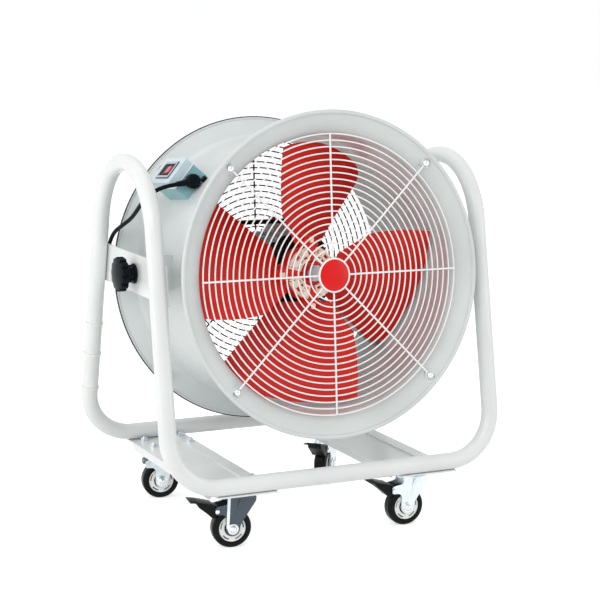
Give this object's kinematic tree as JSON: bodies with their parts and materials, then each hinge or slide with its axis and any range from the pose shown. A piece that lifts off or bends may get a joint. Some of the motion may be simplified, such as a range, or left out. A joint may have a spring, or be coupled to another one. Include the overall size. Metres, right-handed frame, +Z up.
{
  "type": "drum fan",
  "caption": "Axial drum fan with a bladed impeller behind wire guards, tilting in a tubular steel frame on swivel castors, with a switch box and mains cord.",
  "frame": {"origin": "on the floor, under the middle of the frame between the rails and the uprights", "axes": "+Z up, +X towards the side without the switch box, -Y the way the fan blows"},
  "size_m": [0.7206, 0.632, 0.8028],
  "materials": {
    "white_paint": "satin powder coat",
    "drum_paint": "satin powder coat",
    "guard_white": "satin powder coat",
    "guard_dark": "satin powder coat",
    "zinc": "bright zinc plating",
    "fork_dark": "satin",
    "bright_screws": "bright nickel",
    "bearing_steel": "ground steel",
    "motor_cast": "cast",
    "motor_dark": "dark enamel",
    "motor_iron": "laminated core",
    "bar_dark": "satin",
    "arm_paint": "satin",
    "hub_cast": "cast, clear lacquer",
    "blade_red": "satin enamel",
    "badge_red": "gloss",
    "black_plastic": "moulded",
    "box_teal": "moulded",
    "box_pale": "moulded",
    "rocker_red": "moulded",
    "cord_rubber": "smooth",
    "wheel_cream": "moulded",
    "tyre_black": "smooth",
    "tie_nylon": "moulded nylon",
    "pedal_black": "satin"
  },
  "bodies": {
    "frame": {"front_rail_tube": "white_paint", "rear_rail_tube": "white_paint", "left_arch_tube": "white_paint", "right_arch_tube": "white_paint", "pivot_plates": "white_paint", "castor_channels": "white_paint", "castor_plates": "zinc", "castor_bolts": "zinc", "cord_ties": "tie_nylon", "cord_drop": "cord_rubber", "cord_coil": "cord_rubber", "plug": "cord_rubber"},
    "drum": {"drum_shell": "drum_paint", "front_flare": "drum_paint", "rear_flare": "drum_paint", "front_guard": "guard_white", "rear_guard": "guard_dark", "guard_screws": "bright_screws", "badge": "badge_red", "motor_body": "motor_cast", "motor_front_bell": "motor_dark", "motor_rear_cover": "motor_cast", "motor_bearings": "bearing_steel", "motor_stator": "motor_iron", "motor_top_bar": "bar_dark", "motor_arms": "arm_paint", "motor_bolts": "zinc", "pivot_brackets": "drum_paint", "switch_box_base": "box_teal", "switch_box_lid": "box_pale", "switch_bezel": "black_plastic", "cable_gland": "black_plastic", "motor_lead_grommet": "black_plastic", "cord_lead": "cord_rubber"},
    "impeller": {"impeller_shaft": "bearing_steel", "impeller_hub": "hub_cast", "impeller_blades": "blade_red", "impeller_bolts": "zinc"},
    "left_knob": {"left_clamp_knob": "black_plastic"},
    "right_knob": {"right_clamp_knob": "black_plastic"},
    "rocker": {"rocker_switch": "rocker_red"},
    "front_left_castor": {"front_left_fork": "fork_dark", "front_left_axle": "bearing_steel"},
    "front_left_wheel": {"front_left_wheel_core": "wheel_cream", "front_left_tyre": "tyre_black"},
    "front_left_brake": {"front_left_brake_pedal": "pedal_black"},
    "front_right_castor": {"front_right_fork": "zinc", "front_right_axle": "bearing_steel"},
    "front_right_wheel": {"front_right_wheel_core": "wheel_cream", "front_right_tyre": "tyre_black"},
    "front_right_brake": {"front_right_brake_pedal": "pedal_black"},
    "rear_left_castor": {"rear_left_fork": "zinc", "rear_left_axle": "bearing_steel"},
    "rear_left_wheel": {"rear_left_wheel_core": "wheel_cream", "rear_left_tyre": "tyre_black"},
    "rear_right_castor": {"rear_right_fork": "zinc", "rear_right_axle": "bearing_steel"},
    "rear_right_wheel": {"rear_right_wheel_core": "wheel_cream", "rear_right_tyre": "tyre_black"},
    "rear_right_brake": {"rear_right_brake_pedal": "pedal_black"}
  },
  "joints": [
    {"name": "drum_tilt", "type": "hinge", "parent": "frame", "child": "drum", "pos_m": [0, 0, 0.492], "axis": [1, 0, 0], "range_deg": [-84, 36]},
    {"name": "impeller_spin", "type": "hinge", "parent": "drum", "child": "impeller", "pos_m": [0, -0.00114, 0.48056], "axis": [0, 0.9951, -0.0988], "continuous": true},
    {"name": "left_knob_turn", "type": "hinge", "parent": "drum", "child": "left_knob", "pos_m": [-0.34, 0, 0.492], "axis": [-1, 0, 0], "continuous": true},
    {"name": "right_knob_turn", "type": "hinge", "parent": "drum", "child": "right_knob", "pos_m": [0.34, 0, 0.492], "axis": [1, 0, 0], "continuous": true},
    {"name": "rocker_rock", "type": "hinge", "parent": "drum", "child": "rocker", "pos_m": [-0.23601, 0.04295, 0.67661], "axis": [-0.6455, -0.0755, -0.7601], "range_deg": [-16, 0]},
    {"name": "front_left_swivel", "type": "hinge", "parent": "frame", "child": "front_left_castor", "pos_m": [-0.183, -0.177, 0.1], "axis": [0, 0, 1], "continuous": true},
    {"name": "front_left_roll", "type": "hinge", "parent": "front_left_castor", "child": "front_left_wheel", "pos_m": [-0.19782, -0.17465, 0.0375], "axis": [0.1564, 0.9877, 0], "continuous": true},
    {"name": "front_left_brake_press", "type": "hinge", "parent": "front_left_castor", "child": "front_left_brake", "pos_m": [-0.22745, -0.16996, 0.073], "axis": [0.1564, 0.9877, 0], "range_deg": [-10, 0]},
    {"name": "front_right_swivel", "type": "hinge", "parent": "frame", "child": "front_right_castor", "pos_m": [0.183, -0.177, 0.1], "axis": [0, 0, 1], "continuous": true},
    {"name": "front_right_roll", "type": "hinge", "parent": "front_right_castor", "child": "front_right_wheel", "pos_m": [0.16801, -0.17648, 0.0375], "axis": [0.0349, 0.9994, 0], "continuous": true},
    {"name": "front_right_brake_press", "type": "hinge", "parent": "front_right_castor", "child": "front_right_brake", "pos_m": [0.13803, -0.17543, 0.073], "axis": [0.0349, 0.9994, 0], "range_deg": [-10, 0]},
    {"name": "rear_left_swivel", "type": "hinge", "parent": "frame", "child": "rear_left_castor", "pos_m": [-0.183, 0.177, 0.1], "axis": [0, 0, 1], "continuous": true},
    {"name": "rear_left_roll", "type": "hinge", "parent": "rear_left_castor", "child": "rear_left_wheel", "pos_m": [-0.19785, 0.17909, 0.0375], "axis": [0.1392, 0.9903, 0], "continuous": true},
    {"name": "rear_right_swivel", "type": "hinge", "parent": "frame", "child": "rear_right_castor", "pos_m": [0.183, 0.177, 0.1], "axis": [0, 0, 1], "continuous": true},
    {"name": "rear_right_roll", "type": "hinge", "parent": "rear_right_castor", "child": "rear_right_wheel", "pos_m": [0.17203, 0.16677, 0.0375], "axis": [-0.682, 0.7314, 0], "continuous": true},
    {"name": "rear_right_brake_press", "type": "hinge", "parent": "rear_right_castor", "child": "rear_right_brake", "pos_m": [0.15009, 0.14631, 0.073], "axis": [-0.682, 0.7314, 0], "range_deg": [-10, 0]}
  ]
}
